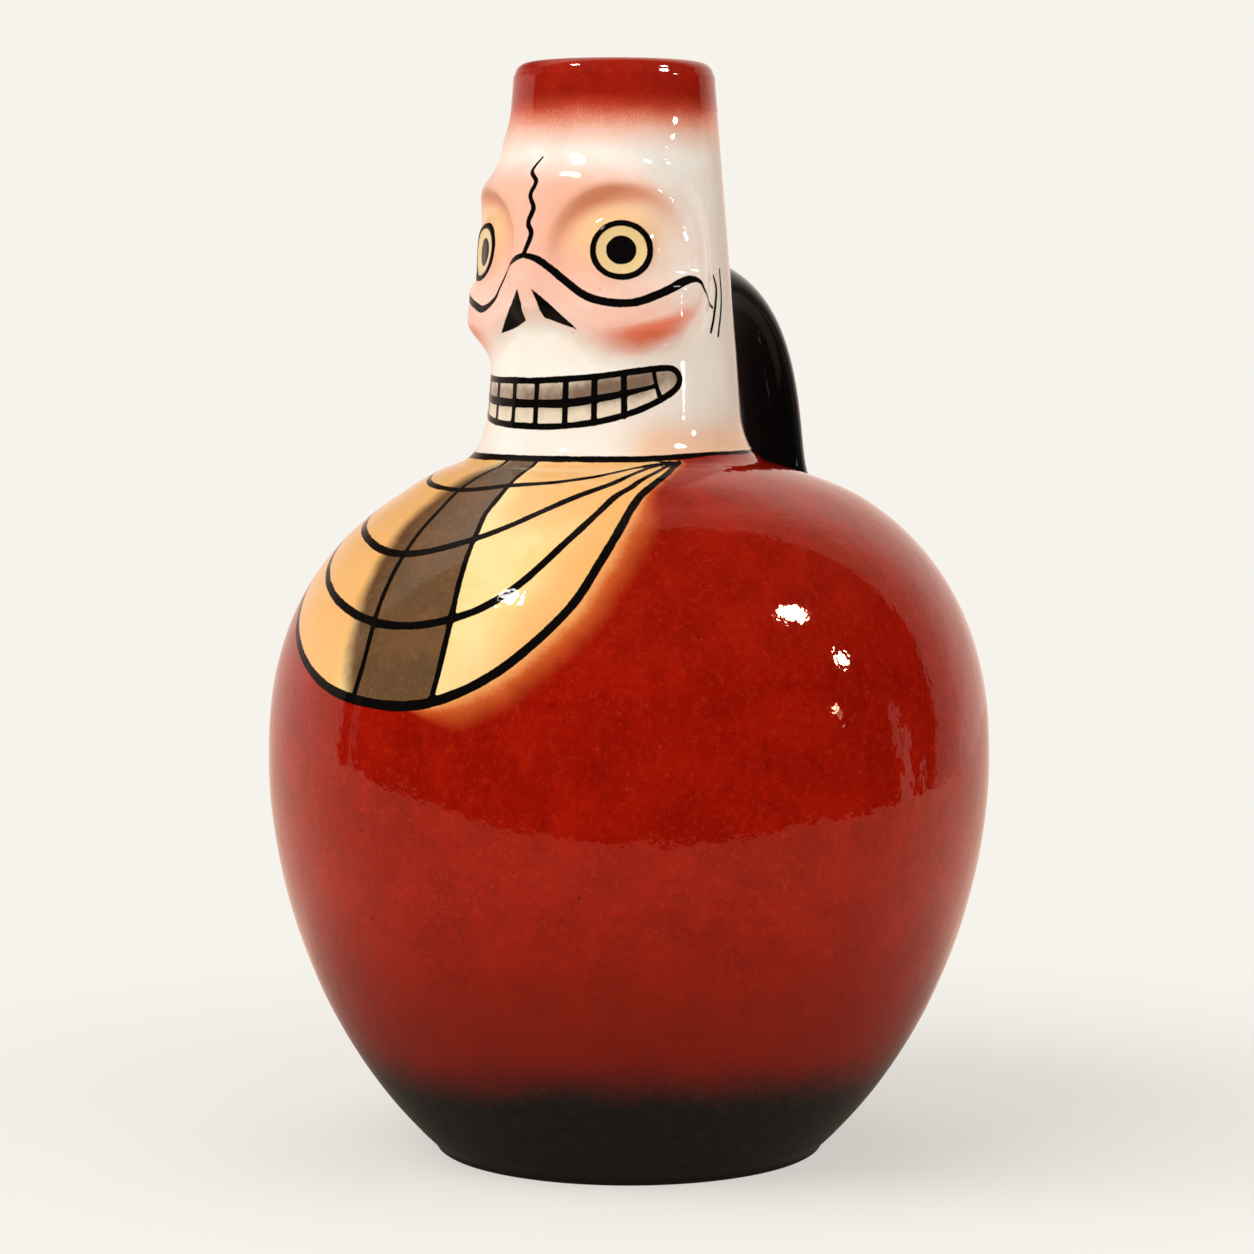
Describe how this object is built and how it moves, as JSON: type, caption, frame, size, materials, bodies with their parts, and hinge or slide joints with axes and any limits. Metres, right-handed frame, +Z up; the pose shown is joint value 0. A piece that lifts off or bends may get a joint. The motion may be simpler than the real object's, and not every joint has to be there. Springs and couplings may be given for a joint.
{
  "type": "ceramic jug",
  "caption": "Round-bodied glazed ceramic jug with a tapered neck modelled as a skull face, a rounded lip and a looped handle behind the neck, for holding and pouring liquids.",
  "frame": {"origin": "middle of the foot's resting face, on the body's axis", "axes": "+Z up along the body's axis, the face looks along -Y and the handle stands at +Y"},
  "size_m": [0.2, 0.2, 0.3],
  "materials": {
    "red_glaze": "glossy mottled iron-red glaze, black towards the foot",
    "black_glaze": "glossy black glaze",
    "white_glaze": "glossy warm white glaze with brushed black lines",
    "blush_glaze": "glossy white glaze with a sprayed peach blush"
  },
  "bodies": {
    "root": {"foot_ring": "black_glaze", "base_disc": "white_glaze", "lower_bowl": "red_glaze", "shoulder": "red_glaze", "neck": "white_glaze", "lip": "red_glaze", "handle": "black_glaze", "nose_bridge": "white_glaze", "left_brow": "blush_glaze", "left_cheekbone": "blush_glaze", "left_eye_dome": "blush_glaze", "right_brow": "blush_glaze", "right_cheekbone": "blush_glaze", "right_eye_dome": "blush_glaze"}
  },
  "joints": []
}
